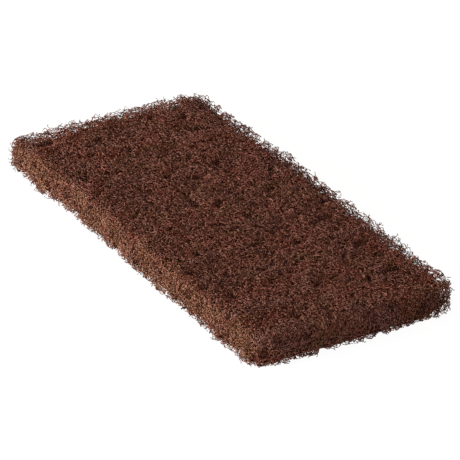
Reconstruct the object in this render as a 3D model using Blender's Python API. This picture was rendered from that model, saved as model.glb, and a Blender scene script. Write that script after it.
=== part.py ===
"""A hand scrubbing pad: one block of open fibre web, cut to a rounded rectangle.

The pad is a single piece. Its crimped fibres are glued where they cross, so the
block has a lumpy, tufted skin with pits between the tufts, and coarse strands of
fibre that leave the skin, wander over it and dive back in. Soft web doesn't keep
a straight edge, so the outline swells and dents. The underside is the same web,
pressed level where it rests. Metres, +Z up, the origin on the resting plane
under the middle of the pad, the long side along X.
"""

import math
import random

import bmesh
import bpy
from mathutils import Vector, noise

# Overall sizes, with the strands that stand proud of the web
LENGTH = 0.250
WIDTH = 0.115
THICKNESS = 0.018

# The block's outline and its broken top and bottom edges
CORNER_RADIUS = 0.012
EDGE_ROUNDING = 0.0035

# The outline's swellings and dents. Each has its place, as shares of half the
# length and half the width, how far the side stands out there, and how wide it is
SWELLINGS = (
    (-0.97, -0.94, 0.0040, 0.008),
    (-0.99, -0.70, -0.0040, 0.010),
    (-0.69, -1.00, 0.0022, 0.012),
    (-0.42, -1.00, -0.0018, 0.012),
    (0.24, -1.00, 0.0007, 0.030),
    (0.78, -1.00, 0.0010, 0.014),
    (-0.99, 0.78, 0.0016, 0.009),
    (-0.80, 1.00, -0.0030, 0.014),
    (-0.28, 1.00, 0.0022, 0.014),
    (0.73, 1.00, -0.0036, 0.012),
    (0.98, 0.87, 0.0004, 0.012),
    (1.00, -0.38, 0.0016, 0.022),
    (1.00, 0.26, 0.0014, 0.020),
)

# The web's skin: how deep its pits go, how wide a tuft is, how strongly broad and
# fine tufts count, and the spacing of the mesh that carries them
PIT_DEPTH = 0.0026
TUFT_WIDTH = 0.0075
FINE_TUFT_WIDTH = 0.0032
BROAD_SHARE = 0.95
FINE_SHARE = 1.2
MESH_PITCH = 0.0046
PITCH_JITTER = 0.0013
SIDE_PITCH = 0.0042

# The underside is pressed level, and only its deeper pits stay open
OPEN_PIT_SHARE = 0.18

# The strands: how far they stand proud of the skin, a fibre bundle's thickness,
# its longest and shortest reach, how far it turns from point to point and how
# soon it turns back, how far its ends are sunk, how many there are, and how low
# on a side they start, as a share of the height
FRINGE = 0.0013
STRAND_THICKNESS = 0.0012
LONGEST_STRAND = 0.022
SHORTEST_STRAND = 0.012
STRAND_SEGMENTS = 5
MOST_TURN = math.radians(38)
SLOWEST_CRIMP = 0.2
FASTEST_CRIMP = 1.3
EMBED_DEPTH = 0.0012
STRANDS_ON_TOP = 50
STRANDS_ROUND_THE_SIDES = 48
LOWEST_ON_A_SIDE = 0.2
WEB_SEED = 11

WEB_COLOUR = (0.125, 0.055, 0.038, 1.0)
WEB_ROUGHNESS = 0.75

# The block without the strands' fringe
BLOCK_HALF_LENGTH = LENGTH / 2 - FRINGE
BLOCK_HALF_WIDTH = WIDTH / 2 - FRINGE
BLOCK_HEIGHT = THICKNESS - FRINGE

GOLDEN_SHARE = (math.sqrt(5) - 1) / 2
FLAT_WITHIN = math.radians(0.5)
FACING_DOWN = -0.99


def clear_scene():
    for old in list(bpy.data.objects):
        bpy.data.objects.remove(old, do_unlink=True)


def web_material():
    material = bpy.data.materials.new("brown fibre web")
    material.use_nodes = True
    shader = material.node_tree.nodes["Principled BSDF"]
    shader.inputs["Base Color"].default_value = WEB_COLOUR
    shader.inputs["Roughness"].default_value = WEB_ROUGHNESS
    shader.inputs["Metallic"].default_value = 0.0
    return material


def from_corner_centre(x, y):
    """The centre that a plan point is rounded about, and the way from there to it."""
    most_x = BLOCK_HALF_LENGTH - CORNER_RADIUS
    most_y = BLOCK_HALF_WIDTH - CORNER_RADIUS
    centre = Vector((max(-most_x, min(most_x, x)), max(-most_y, min(most_y, y))))
    return centre, Vector((x, y)) - centre


def rounded(point):
    """Moves a point of the plain box's surface onto the rounded block.

    Returns its new place and the way out there. A point keeps its distance
    from the side and from the face, so the mesh's rows run round the corners
    as parallel curves.
    """
    centre, out = from_corner_centre(point.x, point.y)
    reach = max(abs(out.x), abs(out.y))
    sideways = out.normalized() if reach > 0 else Vector((0.0, 0.0))
    lower = point.z < BLOCK_HEIGHT / 2
    facing = -1.0 if lower else 1.0
    inset = CORNER_RADIUS - reach
    depth = point.z if lower else BLOCK_HEIGHT - point.z
    normal = Vector((0, 0, facing)) if depth < inset else Vector((*sideways, 0))
    across = EDGE_ROUNDING - inset
    up = EDGE_ROUNDING - depth
    if across > 0 and up > 0:
        shrink = max(across, up) / math.hypot(across, up)
        normal = Vector((*(sideways * across), facing * up)).normalized()
        inset = EDGE_ROUNDING - across * shrink
        depth = EDGE_ROUNDING - up * shrink
    plan = centre + sideways * (CORNER_RADIUS - inset)
    height = depth if lower else BLOCK_HEIGHT - depth
    return Vector((*plan, height)), normal


def swollen(point):
    """A point moved with the swellings and dents near it, fully at the outline
    and less and less towards the middle of the pad."""
    shift = 0.0
    for along, across, amount, spread in SWELLINGS:
        centre = Vector((along * LENGTH / 2, across * WIDTH / 2))
        apart = (point.xy - centre).length / spread
        shift += amount * math.exp(-apart * apart)
    _, out = from_corner_centre(point.x, point.y)
    return point + Vector((*(out * (shift / CORNER_RADIUS)), 0))


def kept_inside(point, room):
    """A point moved, if need be, to have this much room inside the overall sizes."""
    most_x = LENGTH / 2 - room
    most_y = WIDTH / 2 - room
    return Vector((
        max(-most_x, min(most_x, point.x)),
        max(-most_y, min(most_y, point.y)),
        max(room, min(THICKNESS - room, point.z)),
    ))


def tuft_height(place):
    """From 0 at the bottom of a pit to 1 on the crown of a tuft."""
    broad = noise.noise(place / TUFT_WIDTH)
    fine = noise.noise(place / FINE_TUFT_WIDTH)
    return max(0.0, min(1.0, 0.5 + BROAD_SHARE * broad + FINE_SHARE * fine))


def cut_rows(mesh, half, pitch, axis):
    """Cuts the box's faces into rows about one pitch wide across an axis."""
    rows = max(2, round(2 * half / pitch))
    for k in range(1, rows):
        place = Vector((0, 0, BLOCK_HEIGHT / 2))
        place[axis] += half * (2 * k / rows - 1)
        normal = Vector((0, 0, 0))
        normal[axis] = 1
        bmesh.ops.bisect_plane(
            mesh,
            geom=mesh.verts[:] + mesh.edges[:] + mesh.faces[:],
            plane_co=place,
            plane_no=normal,
        )


def plain_box():
    """The block before its edges are broken, its faces cut into rows."""
    mesh = bmesh.new()
    bmesh.ops.create_cube(mesh, size=1.0)
    sides = Vector((2 * BLOCK_HALF_LENGTH, 2 * BLOCK_HALF_WIDTH, BLOCK_HEIGHT))
    bmesh.ops.scale(mesh, vec=sides, verts=mesh.verts)
    bmesh.ops.translate(mesh, vec=(0, 0, BLOCK_HEIGHT / 2), verts=mesh.verts)
    cut_rows(mesh, BLOCK_HALF_LENGTH, MESH_PITCH, 0)
    cut_rows(mesh, BLOCK_HALF_WIDTH, MESH_PITCH, 1)
    cut_rows(mesh, BLOCK_HEIGHT / 2, SIDE_PITCH, 2)
    return mesh


def web_block():
    """The block of web: a rounded slab with a tufted skin."""
    mesh = plain_box()
    shuffle = random.Random(WEB_SEED)
    for vertex in mesh.verts:
        place, normal = rounded(vertex.co)
        astray = Vector([shuffle.uniform(-PITCH_JITTER, PITCH_JITTER) for _ in range(3)])
        astray -= normal * astray.dot(normal)
        pit = 1.0 - tuft_height(place)
        if normal.z < FACING_DOWN:
            pit = max(0.0, pit + OPEN_PIT_SHARE - 1.0) / OPEN_PIT_SHARE
        vertex.co = kept_inside(swollen(place + astray - normal * (pit * PIT_DEPTH)), 0)
    bmesh.ops.triangulate(mesh, faces=mesh.faces)
    bmesh.ops.dissolve_limit(
        mesh,
        angle_limit=FLAT_WITHIN,
        verts=mesh.verts,
        edges=mesh.edges,
    )
    return mesh


def on_the_skin(point):
    """The nearest place on the rounded block, and the way out there."""
    _, out = from_corner_centre(point.x, point.y)
    sideways = out.normalized() if out.length > 0 else Vector((1.0, 0.0))
    facing = 1.0 if point.z > BLOCK_HEIGHT / 2 else -1.0
    across = out.length - CORNER_RADIUS + EDGE_ROUNDING
    up = abs(point.z - BLOCK_HEIGHT / 2) - BLOCK_HEIGHT / 2 + EDGE_ROUNDING
    if across > 0 and up > 0:
        normal = Vector((*(sideways * across), facing * up)).normalized()
        return point - normal * (math.hypot(across, up) - EDGE_ROUNDING), normal
    if across > up:
        return point - Vector((*sideways, 0)) * (across - EDGE_ROUNDING), Vector((*sideways, 0))
    return point - Vector((0, 0, facing)) * (up - EDGE_ROUNDING), Vector((0, 0, facing))


def place_on_top(k):
    """Where strand k of the top lies, in steps that spread them evenly."""
    x = (k * GOLDEN_SHARE) % 1.0 - 0.5
    y = (k + 0.5) / STRANDS_ON_TOP - 0.5
    return Vector((2 * BLOCK_HALF_LENGTH * x, 2 * BLOCK_HALF_WIDTH * y, THICKNESS))


def place_round_the_sides(k):
    """Where strand k of the sides lies: a walk round the outline, low and high in turn."""
    way = 4 * (BLOCK_HALF_LENGTH + BLOCK_HALF_WIDTH) * k / STRANDS_ROUND_THE_SIDES
    corners = (
        Vector((-BLOCK_HALF_LENGTH, -BLOCK_HALF_WIDTH)),
        Vector((BLOCK_HALF_LENGTH, -BLOCK_HALF_WIDTH)),
        Vector((BLOCK_HALF_LENGTH, BLOCK_HALF_WIDTH)),
        Vector((-BLOCK_HALF_LENGTH, BLOCK_HALF_WIDTH)),
    )
    height = BLOCK_HEIGHT * (LOWEST_ON_A_SIDE + (1 - LOWEST_ON_A_SIDE) * ((k * GOLDEN_SHARE) % 1.0))
    for k_side, start in enumerate(corners):
        side = corners[(k_side + 1) % 4] - start
        if way <= side.length:
            break
        way -= side.length
    return Vector((*(start + side * (way / side.length)), height))


def strand_route(place, shuffle):
    """The points of one crimped strand: both ends sunk in the web, the rest over it."""
    place, normal = on_the_skin(place)
    heading = Vector([shuffle.uniform(-1, 1) for _ in range(3)])
    step = shuffle.uniform(SHORTEST_STRAND, LONGEST_STRAND) / STRAND_SEGMENTS
    crimp = shuffle.uniform(SLOWEST_CRIMP, FASTEST_CRIMP)
    first_turn = shuffle.uniform(0, 2 * math.pi)
    sunk = PIT_DEPTH + EMBED_DEPTH
    crest = FRINGE - STRAND_THICKNESS / 2
    points = []
    for n in range(STRAND_SEGMENTS + 1):
        rise = math.sqrt(math.sin(math.pi * n / STRAND_SEGMENTS))
        point = place + normal * (rise * (sunk + crest) - sunk)
        points.append(kept_inside(swollen(point), STRAND_THICKNESS / 2))
        heading = (heading - normal * heading.dot(normal)).normalized()
        turn = MOST_TURN * math.sin(first_turn + n * crimp)
        heading = heading * math.cos(turn) + normal.cross(heading) * math.sin(turn)
        place, normal = on_the_skin(place + heading * step)
    return points


def strand_mesh(name, points):
    """A closed tube of three sides, its section carried from point to point."""
    last = len(points) - 1
    ways = [points[min(k + 1, last)] - points[max(k - 1, 0)] for k in range(last + 1)]
    tube = bmesh.new()
    bmesh.ops.create_circle(tube, segments=3, radius=STRAND_THICKNESS / 2)
    corners = tube.verts[:]
    edges = tube.edges[:]
    at, facing = Vector((0, 0, 0)), Vector((0, 0, 1))
    for k, (place, way) in enumerate(zip(points, ways)):
        if k > 0:
            grown = bmesh.ops.extrude_edge_only(tube, edges=edges)["geom"]
            corners = [item for item in grown if isinstance(item, bmesh.types.BMVert)]
            edges = [item for item in grown if isinstance(item, bmesh.types.BMEdge)]
        turn = facing.rotation_difference(way).to_matrix()
        bmesh.ops.translate(tube, vec=place - at, verts=corners)
        bmesh.ops.rotate(tube, cent=place, matrix=turn, verts=corners)
        at, facing = place, way
    bmesh.ops.holes_fill(tube, edges=tube.edges, sides=3)
    bmesh.ops.recalc_face_normals(tube, faces=tube.faces)
    mesh = bpy.data.meshes.new(name)
    tube.to_mesh(mesh)
    tube.free()
    return mesh


def add_strands():
    """All the strands, as cutters in a collection that the block is joined with."""
    strands = bpy.data.collections.new("strands")
    bpy.context.scene.collection.children.link(strands)
    places = [place_on_top(k) for k in range(STRANDS_ON_TOP)]
    places += [place_round_the_sides(k) for k in range(STRANDS_ROUND_THE_SIDES)]
    shuffle = random.Random(WEB_SEED)
    for k, place in enumerate(places):
        tube = strand_mesh(f"strand {k}", strand_route(place, shuffle))
        strand = bpy.data.objects.new(f"strand {k}", tube)
        strand.hide_render = True
        strand.display_type = "WIRE"
        strands.objects.link(strand)
    return strands


def main():
    clear_scene()
    block = web_block()
    mesh = bpy.data.meshes.new("scrub_pad")
    block.to_mesh(mesh)
    block.free()
    pad = bpy.data.objects.new("scrub_pad", mesh)
    pad.data.materials.append(web_material())
    bpy.context.scene.collection.objects.link(pad)
    join = pad.modifiers.new("strands grow from the web", "BOOLEAN")
    join.operation = "UNION"
    join.operand_type = "COLLECTION"
    join.collection = add_strands()
    join.solver = "EXACT"


main()
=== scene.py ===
# %% [markdown]
# # A hand scrubbing pad of open fibre web
#
# The pad is a block of crimped nylon fibres, laid every which way and glued
# where they cross, with grit in the glue. It has no weave and no surface of its
# own: what the eye reads as a surface is the outermost tangle, and between its
# fibres it looks down into shade. This script builds that tangle out of real
# tubes, round a dark core that stands for everything too deep to see.

import math
import random

import bmesh
import bpy
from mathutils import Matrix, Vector, noise


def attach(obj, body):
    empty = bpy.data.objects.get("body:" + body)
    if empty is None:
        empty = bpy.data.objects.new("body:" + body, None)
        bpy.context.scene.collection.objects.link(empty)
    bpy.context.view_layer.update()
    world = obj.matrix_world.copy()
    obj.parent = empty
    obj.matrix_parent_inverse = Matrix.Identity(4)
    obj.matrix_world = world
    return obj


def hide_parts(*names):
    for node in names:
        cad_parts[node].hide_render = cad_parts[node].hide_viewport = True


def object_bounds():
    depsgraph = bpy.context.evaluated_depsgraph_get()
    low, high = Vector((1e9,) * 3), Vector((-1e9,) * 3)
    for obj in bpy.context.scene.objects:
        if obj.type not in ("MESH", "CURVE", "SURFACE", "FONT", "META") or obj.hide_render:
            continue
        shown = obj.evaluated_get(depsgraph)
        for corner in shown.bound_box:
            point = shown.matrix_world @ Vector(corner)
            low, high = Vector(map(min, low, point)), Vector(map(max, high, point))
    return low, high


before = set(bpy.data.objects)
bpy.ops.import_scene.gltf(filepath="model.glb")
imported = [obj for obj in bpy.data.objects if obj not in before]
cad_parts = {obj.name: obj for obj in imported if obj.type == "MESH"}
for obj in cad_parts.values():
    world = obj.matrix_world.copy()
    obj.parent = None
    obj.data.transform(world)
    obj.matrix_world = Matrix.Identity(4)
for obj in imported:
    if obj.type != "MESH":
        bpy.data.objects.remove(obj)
cad_low, cad_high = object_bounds()
print("CAD box in mm:", [round(1000 * side, 1) for side in cad_high - cad_low])

# %% [markdown]
# ## Where the web ends
#
# The fibres need to know where the pad's surface is. A mesh could tell them, but
# the pad is a rounded block, and for that a few lines of arithmetic are quicker
# and smoother: from any point, find the nearest place on a box whose upright
# corners and top edges are rounded. At the foot the pad's weight keeps the edge
# nearly sharp. The box comes from the frame, so the tangle keeps to the solid's
# size. The outermost fibres reach the box, so the skin that they arch from lies
# a little inside it.

# %% The skin's sizes
TOP_FRINGE = 0.0012
SIDE_FRINGE = 0.0009
CORNER_RADIUS = 0.0125
EDGE_ROUNDING = 0.0042
FOOT_ROUNDING = 0.0010

skin_half_length = (cad_high.x - cad_low.x) / 2 - SIDE_FRINGE
skin_half_width = (cad_high.y - cad_low.y) / 2 - SIDE_FRINGE
skin_height = cad_high.z - TOP_FRINGE
print("skin height in mm:", round(1000 * skin_height, 1))

# %% [markdown]
# ## A block that was cut, packed and used
#
# A die cuts such pads, and soft web doesn't keep a straight edge. Each entry
# below is a place on the outline where this pad swells or has been pushed in:
# where it is, as shares of half the length and half the width, how far the edge
# moves, and over what distance. The solid in the frame has the same ones. A slow
# wave on top of them keeps the rest of the outline from being ruler straight, and
# a quick one makes it ragged.

# %% Swellings and dents
SWELLINGS = (
    (-0.97, -0.94, 0.0040, 0.008),
    (-0.99, -0.70, -0.0040, 0.010),
    (-0.69, -1.00, 0.0022, 0.012),
    (-0.42, -1.00, -0.0018, 0.012),
    (0.24, -1.00, 0.0007, 0.030),
    (0.78, -1.00, 0.0010, 0.014),
    (-0.99, 0.78, 0.0016, 0.009),
    (-0.80, 1.00, -0.0030, 0.014),
    (-0.28, 1.00, 0.0022, 0.014),
    (0.73, 1.00, -0.0036, 0.012),
    (0.98, 0.87, 0.0004, 0.012),
    (1.00, -0.38, 0.0016, 0.022),
    (1.00, 0.26, 0.0014, 0.020),
)
WAVE_HEIGHT = 0.0011
WAVE_LENGTH = 0.021
TUFT_HEIGHT = 0.0011
TUFT_LENGTH = 0.0042

swelling_centres = [
    Vector((along * cad_high.x, across * cad_high.y)) for along, across, _, _ in SWELLINGS
]


def swelling(place):
    """How far the pad's side stands out or in near a place, in metres."""
    out = WAVE_HEIGHT * noise.noise(place / WAVE_LENGTH)
    out += TUFT_HEIGHT * noise.noise(place / TUFT_LENGTH)
    for centre, (_, _, amount, spread) in zip(swelling_centres, SWELLINGS):
        apart = (place.xy - centre).length / spread
        out += amount * math.exp(-apart * apart)
    return out


first_swelling = swelling(swelling_centres[0].to_3d())
print("the first swelling stands out by", round(1000 * first_swelling, 1), "mm")

# %% [markdown]
# The top isn't even either. Here and there the web is thinner, and the eye looks
# into a dark hollow. A noise of which only the peaks are kept gives scattered
# hollows with level web between them.

# %% Hollows
HOLLOW_SLOPE = 0.0070
HOLLOW_WIDTH = 0.0078
HOLLOW_LEVEL = 0.28


def hollow(place):
    """How far the skin has sunk at a place, in metres."""
    return HOLLOW_SLOPE * max(0.0, noise.noise(place / HOLLOW_WIDTH) - HOLLOW_LEVEL)


middle_line = [Vector((millimetre / 1000, 0, skin_height)) for millimetre in range(-120, 121)]
deepest = max(hollow(place) for place in middle_line)
print("along the middle of the top, the deepest hollow in mm:", round(1000 * deepest, 1))

# %% [markdown]
# ## The nearest place on the skin
#
# A point's plan position is split in two: the middle of the nearest upright
# rounding, and the way out from there. The same is done for its height. Where
# both lie past the edge's rounding, the point is over the rounded edge.

# %% Finding the skin


def on_the_skin(point):
    """The nearest place on the rounded block, and the way straight out of it."""
    most_x = skin_half_length - CORNER_RADIUS
    most_y = skin_half_width - CORNER_RADIUS
    nearest = Vector((max(-most_x, min(most_x, point.x)), max(-most_y, min(most_y, point.y))))
    out = point.xy - nearest
    sideways = out.normalized() if out.length > 0 else Vector((1.0, 0.0))
    facing = 1.0 if point.z > skin_height / 2 else -1.0
    rounding = EDGE_ROUNDING if facing > 0 else FOOT_ROUNDING
    across = out.length - CORNER_RADIUS + rounding
    up = abs(point.z - skin_height / 2) - skin_height / 2 + rounding
    if across > 0 and up > 0:
        normal = Vector((*(sideways * across), facing * up)).normalized()
        return point - normal * (math.hypot(across, up) - rounding), normal
    if across > up:
        return point - Vector((*sideways, 0)) * (across - rounding), Vector((*sideways, 0))
    return point - Vector((0, 0, facing)) * (up - rounding), Vector((0, 0, facing))


print("nearest place to a far point:", on_the_skin(Vector((1, 0, 0.009)))[0])

# %% [markdown]
# ## Fibres as curves
#
# Each fibre was crimped before it was laid, so it never runs straight: it weaves
# from side to side and dips in and out of the skin. A fibre here is a short
# walk along the skin. Its heading swings like a wave, which draws the curls, and
# its depth swings too, so that it dives under its neighbours and comes up again.
# How wide and how fast it swings differs from fibre to fibre, by the shares below.
# Many short walks look the same as few long ones, and are easier to spread. Over
# the floor there is room left for the thickest bead of glue on a fibre.

# %% How a fibre runs
FIBRE_RADIUS = 0.00019
STEP = 0.00082
STEPS = 6
SWING = math.radians(42)
CRIMP_LENGTH = 0.0034
DIVE = 0.0002
DIVE_LENGTH = 0.0032
SWING_SHARES = (0.6, 1.3)
LENGTH_SHARES = (0.7, 1.5)
DRIFT = 0.15
THICKEST = 2.4
FLOOR_CLEARANCE = THICKEST * FIBRE_RADIUS


def weave(depth, shuffle):
    """A web fibre's height over the skin from step to step, as it dives and comes up."""
    turn = 2 * math.pi * STEP / (DIVE_LENGTH * shuffle.uniform(*LENGTH_SHARES))
    first = shuffle.uniform(0, 2 * math.pi)
    return [DIVE * math.sin(first + n * turn) - depth for n in range(STEPS + 1)]


def fibre_route(start, heights, shuffle):
    """The points of one fibre that starts near a place and keeps to these heights."""
    place, normal = on_the_skin(start)
    heading = Vector([shuffle.gauss(0, 1) for _ in range(3)])
    swing = SWING * shuffle.uniform(*SWING_SHARES)
    crimp = 2 * math.pi * STEP / (CRIMP_LENGTH * shuffle.uniform(*LENGTH_SHARES))
    crimp_start = shuffle.uniform(0, 2 * math.pi)
    drift = shuffle.gauss(0, DRIFT)
    points = []
    for n, height in enumerate(heights):
        side = swelling(place) * (1 - abs(normal.z))
        point = place + normal * (height + side - hollow(place))
        point.z = max(FLOOR_CLEARANCE, point.z)
        points.append(point)
        heading = (heading - normal * heading.dot(normal)).normalized()
        turn = drift + swing * crimp * math.cos(crimp_start + n * crimp)
        heading = heading * math.cos(turn) + normal.cross(heading) * math.sin(turn)
        place, normal = on_the_skin(place + heading * STEP)
    return points


example = fibre_route(Vector((0, 0, 1)), weave(0, random.Random(1)), random.Random(1))
print("a fibre has", len(example), "points")

# %% [markdown]
# ## Where fibres start
#
# The top and the four sides each get fibres roughly in proportion to their area.
# The underside gets fewer, because nothing looks far into it. On a flat face
# chance alone would leave bald places between crowded ones. Adding the same two
# odd fractions over and over, and keeping what follows the decimal point, gives
# places that look random but never crowd. The cut sides are rougher, and there
# chance alone will do.

# %% Spreading the starts
TOP_FIBRES = 13800
SIDE_FIBRES = 7000
UNDER_FIBRES = 2300
LONG_FRACTION = 0.75487767
WIDE_FRACTION = 0.56984029


def start_on_face(height, number):
    """The place on the top or the underside that has this number."""
    x = skin_half_length * (2 * (number * LONG_FRACTION % 1) - 1)
    y = skin_half_width * (2 * (number * WIDE_FRACTION % 1) - 1)
    return Vector((x, y, height))


def start_on_side(shuffle):
    """A random place round the four sides, at any height."""
    x = skin_half_length
    y = skin_half_width
    height = shuffle.uniform(0, skin_height)
    end = shuffle.choice((-1, 1))
    if shuffle.random() < x / (x + y):
        return Vector((shuffle.uniform(-x, x), end * y, height))
    return Vector((end * x, shuffle.uniform(-y, y), height))


print("a start on a side:", start_on_side(random.Random(2)))

# %% [markdown]
# ## Colour by fibre
#
# Looked at closely, the brown is many browns: patches of russet, ochre and plum
# one or two centimetres wide. The script could paint them on one big mesh with
# noise, but each fibre is only about a pixel wide, so it is simpler and just as
# true to sort whole fibres by hue. A slow noise picks the hue. Along the near long
# side, which the key light faces, ochre takes over from the other hues and the
# patches calm down: painted light, a paler tan that stands in for the light on
# that side. The pad's two halves are kept apart, so that no mesh gets too heavy.

# %% The browns
HUES = {
    "umber": Vector((1.0, 0.318, 0.178)),
    "russet": Vector((1.0, 0.267, 0.147)),
    "ochre": Vector((1.0, 0.362, 0.172)),
    "plum": Vector((0.92, 0.300, 0.190)),
}
HALVES = ("left", "right")
PATCH_WIDTH = 0.013
PATCH_BLUR = 0.06
RUSSET_ABOVE = 0.16
PLUM_BELOW = -0.22
OCHRE_ABOVE = 0.15
OTHER_PATCHES = Vector((7.3, 2.1, 5.9))
LIT_SIDE_TINT_WIDTH = 0.005
LIT_SIDE_TINT_LEAN = 0.28
LIT_SIDE_TINT_CALM = 0.85


def hue_at(place, shuffle):
    """The name of the hue that a fibre at a place gets."""
    # Near the long near side the hue leans to ochre and its patches calm: painted light, a paler
    # tan where the key light falls.
    lit_side_tint = max(0.0, 1 - (place.y + skin_half_width) / LIT_SIDE_TINT_WIDTH)
    lean = noise.noise(place / PATCH_WIDTH) * (1 - LIT_SIDE_TINT_CALM * lit_side_tint) + shuffle.gauss(0, PATCH_BLUR)
    if lean > RUSSET_ABOVE:
        return "russet"
    if lean < PLUM_BELOW:
        return "plum"
    warm = noise.noise(place / PATCH_WIDTH + OTHER_PATCHES) + shuffle.gauss(0, PATCH_BLUR)
    return "ochre" if warm + LIT_SIDE_TINT_LEAN * lit_side_tint > OCHRE_ABOVE else "umber"


def half_of(place):
    """Which half of the pad a place is in."""
    return "left" if place.x < 0 else "right"


print("a fibre in the middle:", hue_at(Vector((0, 0, 0)), random.Random(3)))

# %% [markdown]
# ## Loose edges
#
# Two of the pad's edges are looser than the others: white shows through them in
# the photograph. There the dense web starts further in, more so in some clumps
# than in others, and only wisps reach the skin. It is loosest along the upper
# edge, and about a centimetre further in the web is whole. The corner between the
# far long side and the near end is frayed from top to bottom, and the foot of all
# four sides is a little loose too.

# %% Where the web is loose
LOOSE_WIDTH = 0.0110
LOOSEST_DEPTH = 0.0055
LOOSE_DEPTH = 0.0110
LEAST_LOOSE = 0.45
LOOSE_RECESS = 0.0052
MOST_FRAYED_REACH = 0.0050
FRAYED_REACH = 0.0150
MOST_FRAYED = 0.65
FOOT_RISE = 0.0040
FOOT_RECESS = 0.0007
CLUMP_WIDTH = 0.0030
CLUMPING = 1.8


def from_loose_sides(place):
    """How far in a place is from the nearer of the two loose sides."""
    return min(place.x + skin_half_length, skin_half_width - place.y)


def from_outline(place):
    """How far in a place is from the nearest of the four sides."""
    return min(skin_half_length - abs(place.x), skin_half_width - abs(place.y))


def fading(distance, whole, gone):
    """1 up to one distance, 0 from another on, and an even slope in between."""
    return max(0.0, min(1.0, (gone - distance) / (gone - whole)))


def looseness(place):
    """How loose the web is at a place, from 0 to 1."""
    inwards = fading(from_loose_sides(place), 0, LOOSE_WIDTH)
    downwards = fading(skin_height - place.z, LOOSEST_DEPTH, LOOSE_DEPTH)
    from_corner = (place.xy - Vector((skin_half_length, skin_half_width))).length
    frayed = MOST_FRAYED * fading(from_corner, MOST_FRAYED_REACH, FRAYED_REACH)
    return max(inwards * max(LEAST_LOOSE, downwards), frayed)


def recess(place):
    """How far inside the skin the dense web starts at a place, in metres."""
    foot = fading(place.z, 0, FOOT_RISE) * fading(from_outline(place), 0, FOOT_RISE)
    return LOOSE_RECESS * looseness(place) + FOOT_RECESS * foot


def clump(place):
    """A ragged factor that is 1 on average."""
    return max(0.0, 1 + CLUMPING * noise.noise(place / CLUMP_WIDTH))


far_edge = Vector((0, skin_half_width, skin_height))
print("recess of the far edge in mm:", round(1000 * recess(far_edge), 1))

# %% [markdown]
# ## Laying the tangle
#
# Depth makes the web look open. On the top the fibres lie within a millimetre
# under the skin, so that some are in the light and others in the shade of those
# above. The cut sides are rougher, and fibres lie twice as deep there. Where the
# web is loose they lie deeper still, all but the wisps.

# %% Laying the fibres
SHALLOWEST = -0.0001
DEEPEST = 0.0009
DEEPER_IN_SIDES = 0.0013
WISPS = 0.34
WEB_SEED = 5


def lying_depth(start, shuffle):
    """How deep under the skin a fibre runs."""
    place, normal = on_the_skin(start)
    deepest = DEEPEST + DEEPER_IN_SIDES * (1 - abs(normal.z))
    share = shuffle.random() if shuffle.random() < WISPS else 1.0
    return shuffle.uniform(SHALLOWEST, deepest) + share * recess(place) * clump(place)


def add_route(routes, route, shuffle):
    """Sorts a fibre by hue and half."""
    middle = route[len(route) // 2]
    routes[hue_at(middle, shuffle), half_of(middle)].append(route)


def lay_fibres():
    """The routes of all the web's fibres, sorted by hue and half."""
    shuffle = random.Random(WEB_SEED)
    starts = [start_on_face(skin_height, number) for number in range(TOP_FIBRES)]
    starts += [start_on_side(shuffle) for _ in range(SIDE_FIBRES)]
    starts += [start_on_face(0, number) for number in range(UNDER_FIBRES)]
    routes = {(hue, half): [] for hue in HUES for half in HALVES}
    for start in starts:
        heights = weave(lying_depth(start, shuffle), shuffle)
        add_route(routes, fibre_route(start, heights, shuffle), shuffle)
    return routes


routes = lay_fibres()
for (hue, half), laid in routes.items():
    print(half, hue, len(laid), "fibres")

# %% [markdown]
# ## The fringe
#
# Cutting leaves loops and loose ends. They stand off the sides all round and give
# the pad its frayed outline, with the background showing through. A loop is an
# arch with both feet in the web, and a loose end has one. Few of them reach far,
# and where the web is loose many of them are missing. Some loops stand off the
# top as well, so that it isn't flat when it is seen from the side. Raising a
# random share to a power above one makes small shares common and large ones rare.

# %% Laying the fringe
SIDE_LOOPS = 1000
TOP_LOOPS = 700
LOOSE_ENDS = 2800
LOOP_STEPS = 5
END_STEPS = 3
FRINGE_ROOT = 0.0006
LEAST_REACH = 0.0006
LOOP_REACH = 0.0020
END_REACH = 0.0028
REACH_POWER = 3
MOST_MISSING = 0.50


def fringe_heights(steps, quarter_turns, most, shuffle):
    """The heights of a fibre that leaves the web and may come back to it."""
    reach = LEAST_REACH + (most - LEAST_REACH) * shuffle.random() ** REACH_POWER
    turn = quarter_turns * math.pi / 2 / steps
    return [reach * math.sin(n * turn) - FRINGE_ROOT for n in range(steps + 1)]


def lay_fringe(routes):
    """Adds the loops and loose ends that stand off the pad."""
    shuffle = random.Random(WEB_SEED + 1)
    starts = [start_on_side(shuffle) for _ in range(SIDE_LOOPS)]
    starts += [start_on_face(skin_height, number + TOP_FIBRES) for number in range(TOP_LOOPS)]
    heights = [fringe_heights(LOOP_STEPS, 2, LOOP_REACH, shuffle) for _ in starts]
    starts += [start_on_side(shuffle) for _ in range(LOOSE_ENDS)]
    heights += [fringe_heights(END_STEPS, 1, END_REACH, shuffle) for _ in range(LOOSE_ENDS)]
    for start, rise in zip(starts, heights):
        if shuffle.random() > MOST_MISSING * looseness(start) * clump(start):
            add_route(routes, fibre_route(start, rise, shuffle), shuffle)


lay_fringe(routes)
print("fibres in all:", sum(len(laid) for laid in routes.values()))

# %% [markdown]
# ## From routes to tubes
#
# A curve object turns a route into a tube by carrying a section along it. A
# round section would cost hundreds of triangles a fibre, and a fibre is only
# about a pixel wide, so the section is a triangle, shaded smooth to look round.

# %% The fibre's section
SECTION_CORNERS = 3


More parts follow.
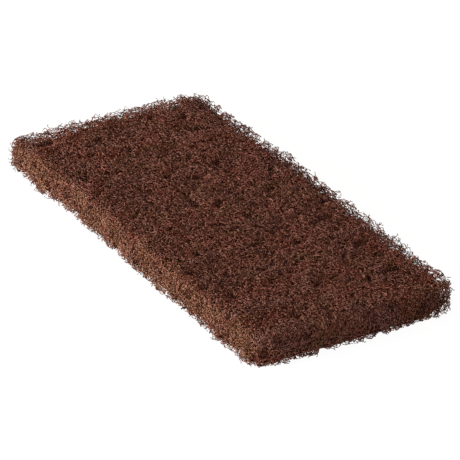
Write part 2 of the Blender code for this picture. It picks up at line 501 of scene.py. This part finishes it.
def fibre_section():
    """A small closed triangle for the curves to carry along."""
    curve = bpy.data.curves.new("fibre section", "CURVE")
    spline = curve.splines.new("POLY")
    spline.points.add(SECTION_CORNERS - 1)
    for n, point in enumerate(spline.points):
        turn = 2 * math.pi * n / SECTION_CORNERS
        point.co = (FIBRE_RADIUS * math.cos(turn), FIBRE_RADIUS * math.sin(turn), 0, 1)
    spline.use_cyclic_u = True
    section = bpy.data.objects.new("fibre section", curve)
    bpy.context.scene.collection.objects.link(section)
    return section


section = fibre_section()
print("the section has", len(section.data.splines[0].points), "corners")

# %% [markdown]
# The grit makes the fibres paler and darker along their way. A mesh can hold
# several materials, and every face has the number of its own. So a noise as fine
# as one step of a fibre sorts the faces into three shades. Every other step leans
# towards pale and the rest towards dark, which keeps the speckle fine. A slow
# noise leans whole patches one way or the other. A shade has a name, a share of
# the fibre's hue, and an amount of plain white that is added or taken away: on the
# pale shade the white is dust and a painted sheen, and the darker shades lose a
# little to look richer.

# %% Shades along a fibre
SHADES = (
    ("dark", 0.048, -0.005),
    ("middle", 0.083, -0.002),
    ("pale", 0.108, 0.018),
)
GRAIN_LENGTH = 0.0006
STEP_LEAN = 0.22
DARK_BELOW = -0.08
PALE_ABOVE = 0.09
SHADOW_LEAN = 0.28
SHADOW_WIDTH = 0.014


def alternate(step, amount):
    """The amount at every other step, and the opposite in between."""
    return amount if step % 2 else -amount


def shade_number(place, step):
    """Which of the shades a bit of fibre at a place has."""
    grain = noise.noise(place / GRAIN_LENGTH) + SHADOW_LEAN * noise.noise(place / SHADOW_WIDTH)
    grain += alternate(step, STEP_LEAN)
    if grain < DARK_BELOW:
        return 0
    return 2 if grain > PALE_ABOVE else 1


print("the shade in the middle:", SHADES[shade_number(Vector((0, 0, 0)), 1)][0])

# %% [markdown]
# The glue sits on the fibres in beads and lumps, which the eye sees as specks
# where the thin fibre between them is lost. Every point of a curve has a radius
# that scales the section there. It alternates for the beads, and a fine noise
# adds the lumps. A curve's mesh comes with doubled vertices, so they are merged
# before the normals are turned outwards. Its faces come in order along each tube,
# as many to a step as the section has corners, so counting them off by that number
# changes the shade once a step. The caps at a tube's ends only shift the count.

# %% Tubes along the routes
BEADS = 0.30
LUMPINESS = 0.9
LUMP_LENGTH = 0.0009
THINNEST = 0.20
MERGED_WITHIN = 1e-6


def thickness(point, step):
    """How thick a fibre is at a point, as a share of the usual."""
    lump = LUMPINESS * noise.noise(point / LUMP_LENGTH)
    return max(THINNEST, 1 + lump + alternate(step, BEADS))


def curve_along(name, laid):
    """A curve with one spline along each route, thick and thin by turns."""
    curve = bpy.data.curves.new(name, "CURVE")
    curve.dimensions = "3D"
    curve.bevel_mode = "OBJECT"
    curve.bevel_object = section
    curve.use_fill_caps = True
    for route in laid:
        spline = curve.splines.new("POLY")
        spline.points.add(len(route) - 1)
        spline.points.foreach_set("co", [number for point in route for number in (*point, 1)])
        spline.points.foreach_set("radius", [thickness(point, n) for n, point in enumerate(route)])
    return curve


def tubes_of(curve):
    """The mesh that a curve's bevel gives."""
    guide = bpy.data.objects.new(curve.name, curve)
    bpy.context.scene.collection.objects.link(guide)
    graph = bpy.context.evaluated_depsgraph_get()
    tubes = bpy.data.meshes.new_from_object(guide.evaluated_get(graph))
    bpy.data.objects.remove(guide)
    return tubes


def fibre_mesh(name, laid):
    """One mesh of closed tubes, one along each route, its faces sorted by shade."""
    tubes = tubes_of(curve_along(name, laid))
    weld = bmesh.new()
    weld.from_mesh(tubes)
    bmesh.ops.remove_doubles(weld, verts=weld.verts, dist=MERGED_WITHIN)
    bmesh.ops.recalc_face_normals(weld, faces=weld.faces)
    for face in weld.faces:
        step = face.index // SECTION_CORNERS
        face.material_index = shade_number(face.calc_center_median(), step)
    weld.to_mesh(tubes)
    weld.free()
    tubes.shade_smooth()
    return tubes


trial = fibre_mesh("trial", [example])
print("one fibre has", len(trial.polygons), "faces")
bpy.data.meshes.remove(trial)

# %% [markdown]
# ## Shader arithmetic in Python
#
# Node trees get long when every sum is a node made by hand. Wire wraps one
# output socket and turns + - * on it into Math nodes. Finish is a new material,
# or the world, and its add method is the one way that any other node gets in.
# A node's socket is named, or numbered where two sockets share a name, as those
# of the Math and Mix nodes do.

# %% Wire and Finish


class Wire:
    """One output socket, which Python arithmetic can be done on."""

    def __init__(self, finish, socket):
        self.finish = finish
        self.socket = socket

    def math(self, operation, first, second):
        """A new Math node that works on two wires or numbers."""
        inputs = {0: first, 1: second}
        return self.finish.add("ShaderNodeMath", {"operation": operation}, inputs)

    def __add__(self, other):
        return self.math("ADD", self, other)

    def __mul__(self, other):
        return self.math("MULTIPLY", self, other)

    def __sub__(self, other):
        return self.math("SUBTRACT", self, other)

    def __rsub__(self, other):
        return self.math("SUBTRACT", other, self)

    __radd__ = __add__
    __rmul__ = __mul__

    def larger(self, other):
        """The larger of two wires."""
        return self.math("MAXIMUM", self, other)


class Finish:
    """A new material, or the world, and the way that nodes are added to it."""

    def __init__(self, owner):
        owner.use_nodes = True
        self.owner = owner
        self.tree = owner.node_tree

    def add(self, kind, settings=None, inputs=None, output=0):
        """A new node with its settings made and its inputs plugged in."""
        node = self.tree.nodes.new(kind)
        for name, value in (settings or {}).items():
            setattr(node, name, value)
        for name, value in (inputs or {}).items():
            self.plug(node.inputs[name], value)
        return Wire(self, node.outputs[output])

    def plug(self, socket, value):
        """Links a wire to a socket, or sets the socket to a plain value."""
        if isinstance(value, Wire):
            self.tree.links.new(value.socket, socket)
        else:
            socket.default_value = value

    def shader(self):
        """The shader that every new material comes with."""
        return self.tree.nodes["Principled BSDF"]


print("shader helpers ready")

# %% [markdown]
# ## The fibre's finish
#
# Nylon coated with resin and grit is rough and nearly matt, with a faint sheen
# where light grazes it. Each hue gets one material for each shade, and the pale
# one has white added, for dust and for a painted sheen, so that it is greyer than
# the others.

# %% Fibre materials
FIBRE_ROUGHNESS = 0.62
FIBRE_SHEEN = 0.06


def fibre_finish(hue, shade, amount, dust_and_sheen):
    """The plain material of one shade of one hue."""
    finish = Finish(bpy.data.materials.new(f"{shade} {hue} fibre"))
    shader = finish.shader()
    # The white added to the pale shade is dust and a painted sheen; the darker shades lose a
    # little.
    colour = HUES[hue] * amount + Vector((dust_and_sheen, dust_and_sheen, dust_and_sheen))
    finish.plug(shader.inputs["Base Color"], (*colour, 1))
    finish.plug(shader.inputs["Roughness"], FIBRE_ROUGHNESS)
    finish.plug(shader.inputs["Specular IOR Level"], FIBRE_SHEEN)
    return finish.owner


def fibre_piece(hue, half):
    """The fibres of one hue in one half, as a piece of the pad."""
    mesh = fibre_mesh(f"{hue}_fibres_{half}", routes[hue, half])
    for finish in finishes[hue]:
        mesh.materials.append(finish)
    piece = bpy.data.objects.new(mesh.name, mesh)
    bpy.context.scene.collection.objects.link(piece)
    return piece


finishes = {hue: [fibre_finish(hue, *shade) for shade in SHADES] for hue in HUES}
pieces = [fibre_piece(hue, half) for hue, half in routes]
bpy.data.objects.remove(section)
for piece in pieces:
    print(piece.name, sum(len(face.vertices) - 2 for face in piece.data.polygons), "triangles")

# %% [markdown]
# ## The core
#
# Under the tangle there is more tangle, too deep to make out. One closed block
# stands for it: dark, bumpy and set well back, so that it is only seen as the
# shade between fibres. It starts as a cube. A bevel rounds its upright edges, and
# cuts across it in all three directions give it vertices every few millimetres,
# which noise then pushes in and out.

# %% Shaping the core
CORE_DEPTH = 0.0030
CORE_INSET = 0.0027
CORE_FOOT = 0.0005
LEAST_GAP = 0.0002
CORE_CELL = 0.004
CORE_LUMP = 0.0011
CORE_LUMP_LENGTH = 0.008
CORE_CORNER_STEPS = 6


def core_block():
    """A rounded block a few millimetres inside the skin."""
    block = bmesh.new()
    bmesh.ops.create_cube(block, size=1)
    height = skin_height - CORE_DEPTH - CORE_FOOT
    size = Vector((skin_half_length - CORE_INSET, skin_half_width - CORE_INSET, height / 2)) * 2
    bmesh.ops.scale(block, vec=size, verts=block.verts)
    bmesh.ops.translate(block, vec=(0, 0, CORE_FOOT + height / 2), verts=block.verts)
    rises = {edge: abs((edge.verts[0].co - edge.verts[1].co).z) for edge in block.edges}
    upright = [edge for edge, rise in rises.items() if rise > height / 2]
    bmesh.ops.bevel(
        block,
        geom=upright,
        offset=CORNER_RADIUS - CORE_INSET,
        affect="EDGES",
        segments=CORE_CORNER_STEPS,
        profile=0.5,
        material=-1,
    )
    return block


def cut_into_cells(block):
    """Cuts the block across in all three directions, so that it can be made lumpy."""
    for axis, half in ((0, skin_half_length), (1, skin_half_width), (2, skin_height / 2)):
        count = round(2 * half / CORE_CELL)
        for n in range(1, count):
            place = Vector((0, 0, skin_height / 2))
            place[axis] += half * (2 * n / count - 1)
            normal = Vector((0, 0, 0))
            normal[axis] = 1
            everything = block.verts[:] + block.edges[:] + block.faces[:]
            bmesh.ops.bisect_plane(block, geom=everything, plane_co=place, plane_no=normal)


def core_mesh():
    """The core, its surface pushed in and out in lumps."""
    block = core_block()
    cut_into_cells(block)
    bmesh.ops.triangulate(block, faces=block.faces)
    block.normal_update()
    moves = {}
    for vertex in block.verts:
        side = swelling(vertex.co) * (1 - abs(vertex.normal.z))
        lump = CORE_LUMP * noise.noise(vertex.co / CORE_LUMP_LENGTH) - hollow(vertex.co)
        moves[vertex] = vertex.normal * (side + lump - recess(vertex.co))
    for vertex, move in moves.items():
        vertex.co += move
        vertex.co.z = max(LEAST_GAP, vertex.co.z)
    mesh = bpy.data.meshes.new("web_core")
    block.to_mesh(mesh)
    block.free()
    mesh.shade_smooth()
    return mesh


core = bpy.data.objects.new("web_core", core_mesh())
bpy.context.scene.collection.objects.link(core)
print("the core has", len(core.data.polygons), "faces")

# %% [markdown]
# Hardly any light comes back from that deep, so the core's colour is painted
# shade: a near-black brown. It still hints at more fibres: a Voronoi texture that
# measures the distance to its cells' edges draws a net of fine lines, and a
# coarser noise lets the net come and go. The same numbers choose between the
# painted shade and a fibre brown, and raise a bump. The first three values below
# are the numbers of sockets: the output for Object coordinates, the two colours
# that go into a colour mix, and the colour that comes out of it.

# %% The core's finish
OBJECT_COORDINATES = 3
MIX_COLOURS = (6, 7)
MIXED_COLOUR = 2
NET_SCALE = 620.0
NET_FADE = 2.5
MOTTLE_SCALE = 90.0
MOTTLE_DETAIL = 3.0
SHADE_BROWN = (0.012, 0.0042, 0.0028, 1)
NET_BROWN = (0.085, 0.030, 0.018, 1)
BUMP_STRENGTH = 0.8
BUMP_HEIGHT = 0.001
CORE_ROUGHNESS = 0.9
NO_SHEEN = 0.0


def deep_net(finish):
    """How strongly the deep fibres show at each place."""
    place = finish.add("ShaderNodeTexCoord", output=OBJECT_COORDINATES)
    cell_inputs = {"Vector": place, "Scale": NET_SCALE}
    cells = finish.add("ShaderNodeTexVoronoi", {"feature": "DISTANCE_TO_EDGE"}, cell_inputs)
    mottle_inputs = {"Vector": place, "Scale": MOTTLE_SCALE, "Detail": MOTTLE_DETAIL}
    mottle = finish.add("ShaderNodeTexNoise", None, mottle_inputs)
    return (1 - cells * NET_FADE) * mottle


def core_finish():
    """Painted shade of near-black brown, with a bump that hints at more fibres below."""
    finish = Finish(bpy.data.materials.new("shaded web"))
    net = deep_net(finish)
    browns = dict(zip(MIX_COLOURS, (SHADE_BROWN, NET_BROWN)))
    mix_inputs = {"Factor": net, **browns}
    colour = finish.add("ShaderNodeMix", {"data_type": "RGBA"}, mix_inputs, MIXED_COLOUR)
    bump_inputs = {"Strength": BUMP_STRENGTH, "Distance": BUMP_HEIGHT, "Height": net}
    bump = finish.add("ShaderNodeBump", None, bump_inputs)
    shader = finish.shader()
    finish.plug(shader.inputs["Base Color"], colour)
    finish.plug(shader.inputs["Normal"], bump)
    finish.plug(shader.inputs["Roughness"], CORE_ROUGHNESS)
    finish.plug(shader.inputs["Specular IOR Level"], NO_SHEEN)
    return finish.owner


core.data.materials.append(core_finish())
print("the core's finish has", len(core.active_material.node_tree.nodes), "nodes")

# %% [markdown]
# ## What stands for what
#
# The solid block of the frame isn't shown: the core and the fibres stand for it
# together, all hung from one body, as a full and springy pad.

# %% Putting the pieces in the frame
for piece in [core, *pieces]:
    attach(piece, "root")
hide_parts("scrub_pad")
print("pieces:", [piece.name for piece in [core, *pieces]])

# %% [markdown]
# ## Floor and light
#
# The pad lies on white, with hardly a shadow. The floor is white and matt, and
# for rays from the camera it is mostly replaced by a glow of strength 1, which
# is white. What is left of the matt floor keeps the pad's shadow.

# %% The floor
FLOOR_SIZE = 8.0
FLOOR_GLOW = 0.95
FLOOR_PAPER = (0.95, 0.95, 0.95, 1)
WHITE = (1, 1, 1, 1)


def is_seen(finish):
    """1 for what the camera, a reflection or a refraction looks at, and 0 for light."""
    sockets = finish.add("ShaderNodeLightPath").socket.node.outputs
    camera_ray = Wire(finish, sockets["Is Camera Ray"])
    glossy_ray = Wire(finish, sockets["Is Glossy Ray"])
    refracted_ray = Wire(finish, sockets["Is Transmission Ray"])
    return camera_ray.larger(glossy_ray).larger(refracted_ray)


def floor_finish():
    """White paper that hardly darkens in shadow when it is looked at."""
    finish = Finish(bpy.data.materials.new("white ground"))
    matt = finish.add("ShaderNodeBsdfDiffuse", None, {"Color": FLOOR_PAPER})
    glow = finish.add("ShaderNodeEmission", None, {"Color": WHITE, "Strength": 1.0})
    glow_share = is_seen(finish) * FLOOR_GLOW
    mixed = finish.add("ShaderNodeMixShader", None, {0: glow_share, 1: matt, 2: glow})
    output = finish.tree.nodes["Material Output"]
    finish.plug(output.inputs["Surface"], mixed)
    return finish.owner


def make_floor():
    """A large white sheet under the pad."""
    plane = bmesh.new()
    bmesh.ops.create_grid(plane, x_segments=1, y_segments=1, size=FLOOR_SIZE / 2)
    mesh = bpy.data.meshes.new("floor")
    plane.to_mesh(mesh)
    plane.free()
    mesh.materials.append(floor_finish())
    floor = bpy.data.objects.new("floor", mesh)
    bpy.context.scene.collection.objects.link(floor)
    return floor


floor = make_floor()
print("floor:", floor.dimensions)

# %% [markdown]
# The long near side is the brightest and the top is darker, so the key light is
# low and to the left, facing the long side. It is a touch cool. A warmer, weaker
# light above fills the top, one to the right fills the short near side, and the
# world fills the rest. Each softbox has a name, a place and a size in metres, a
# power in watts and a tint.

# %% The lights
COOL = (0.97, 0.99, 0.98)
WARM = (1.0, 0.92, 0.82)
NEUTRAL = (1.0, 1.0, 1.0)
SOFTBOXES = (
    ("key", Vector((-0.45, -1.25, 0.24)), 0.7, 106.0, COOL),
    ("top", Vector((-0.2, 0.1, 1.4)), 0.9, 8.0, WARM),
    ("end", Vector((1.25, -0.30, 0.40)), 0.7, 12.0, NEUTRAL),
)
SKY_LEVEL = 0.55


def add_softbox(name, place, size, power, tint):
    """A square area light that faces the pad."""
    light = bpy.data.lights.new(name, "AREA")
    light.color = tint
    light.size = size
    light.energy = power
    lamp = bpy.data.objects.new(name, light)
    lamp.location = place
    lamp.rotation_euler = place.to_track_quat("Z", "Y").to_euler()
    bpy.context.scene.collection.objects.link(lamp)
    return lamp


def make_sky():
    """Even light all round, which the camera sees as white."""
    world = bpy.data.worlds.new("studio")
    bpy.context.scene.world = world
    finish = Finish(world)
    ground = finish.tree.nodes["Background"]
    level = SKY_LEVEL + is_seen(finish) * (1 - SKY_LEVEL)
    finish.plug(ground.inputs["Color"], WHITE)
    finish.plug(ground.inputs["Strength"], level)


softboxes = [add_softbox(*softbox) for softbox in SOFTBOXES]
make_sky()
print("lights:", [softbox.name for softbox in softboxes])

# %% [markdown]
# ## The camera
#
# The photograph looks at the pad from its near corner, well above it, with a
# long lens from about 1.8 m. The camera aims a few millimetres off the pad's
# middle, as the photograph does.

# %% The camera
AZIMUTH = math.radians(59.8)
ELEVATION = math.radians(27.75)
DISTANCE = 1.76
LENS = 278.2
AIM_HEIGHT = 0.0073
AIM_RIGHT = 0.0021
AIM_DOWN = 0.0040


def make_camera():
    """The scene's camera, turned to the pad from the photograph's side."""
    back = Vector((
        math.sin(AZIMUTH) * math.cos(ELEVATION),
        -math.cos(AZIMUTH) * math.cos(ELEVATION),
        math.sin(ELEVATION),
    ))
    turn = back.to_track_quat("Z", "Y")
    right = turn @ Vector((1, 0, 0))
    up = turn @ Vector((0, 1, 0))
    lens = bpy.data.cameras.new("camera")
    lens.lens = LENS
    camera = bpy.data.objects.new("camera", lens)
    aim = Vector((0, 0, AIM_HEIGHT)) + right * AIM_RIGHT - up * AIM_DOWN
    camera.location = aim + back * DISTANCE
    camera.rotation_euler = turn.to_euler()
    bpy.context.scene.collection.objects.link(camera)
    bpy.context.scene.camera = camera
    return camera


camera = make_camera()
bpy.context.scene.view_settings.view_transform = "Standard"
print("camera at", camera.location)
